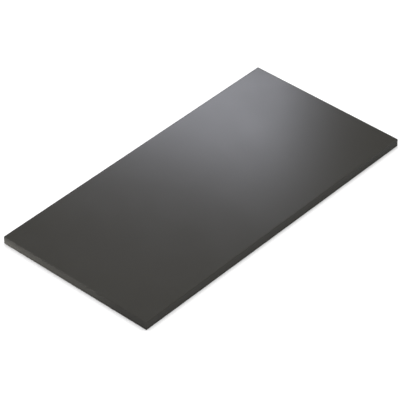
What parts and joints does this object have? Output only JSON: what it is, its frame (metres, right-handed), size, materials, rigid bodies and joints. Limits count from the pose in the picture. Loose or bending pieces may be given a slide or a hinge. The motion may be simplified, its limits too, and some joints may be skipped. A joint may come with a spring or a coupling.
{
  "type": "kick plate",
  "caption": "Flat rectangular kick plate for the foot of a door: a shallow folded metal pan on a stiff core, satin dark grey, with foam mounting tape and release liners on its back.",
  "frame": {"origin": "under the centre of the plate, on the surface that it lies on, which is the release liners' underside", "axes": "+X runs along the plate, +Y points up the door once the plate hangs, and +Z points out of the plate's face, away from the door"},
  "size_m": [0.4, 0.2, 0.01],
  "materials": {
    "powder_coated_sheet": "satin",
    "bond_adhesive": "satin",
    "fibreboard": "matte",
    "phenolic_sheet": "satin",
    "sealant": "satin",
    "foam_tape": "matte",
    "liner_film": "satin"
  },
  "bodies": {
    "root": {"face_pan": "powder_coated_sheet", "bond_film": "bond_adhesive", "core_board": "fibreboard", "backing_sheet": "phenolic_sheet", "edge_sealant": "sealant", "mounting_tape_top": "foam_tape", "mounting_tape_bottom": "foam_tape", "mounting_tape_left_end": "foam_tape", "mounting_tape_left_middle": "foam_tape", "mounting_tape_right_middle": "foam_tape", "mounting_tape_right_end": "foam_tape", "release_liner_top": "liner_film", "release_liner_bottom": "liner_film", "release_liner_left_end": "liner_film", "release_liner_left_middle": "liner_film", "release_liner_right_middle": "liner_film", "release_liner_right_end": "liner_film"}
  },
  "joints": []
}
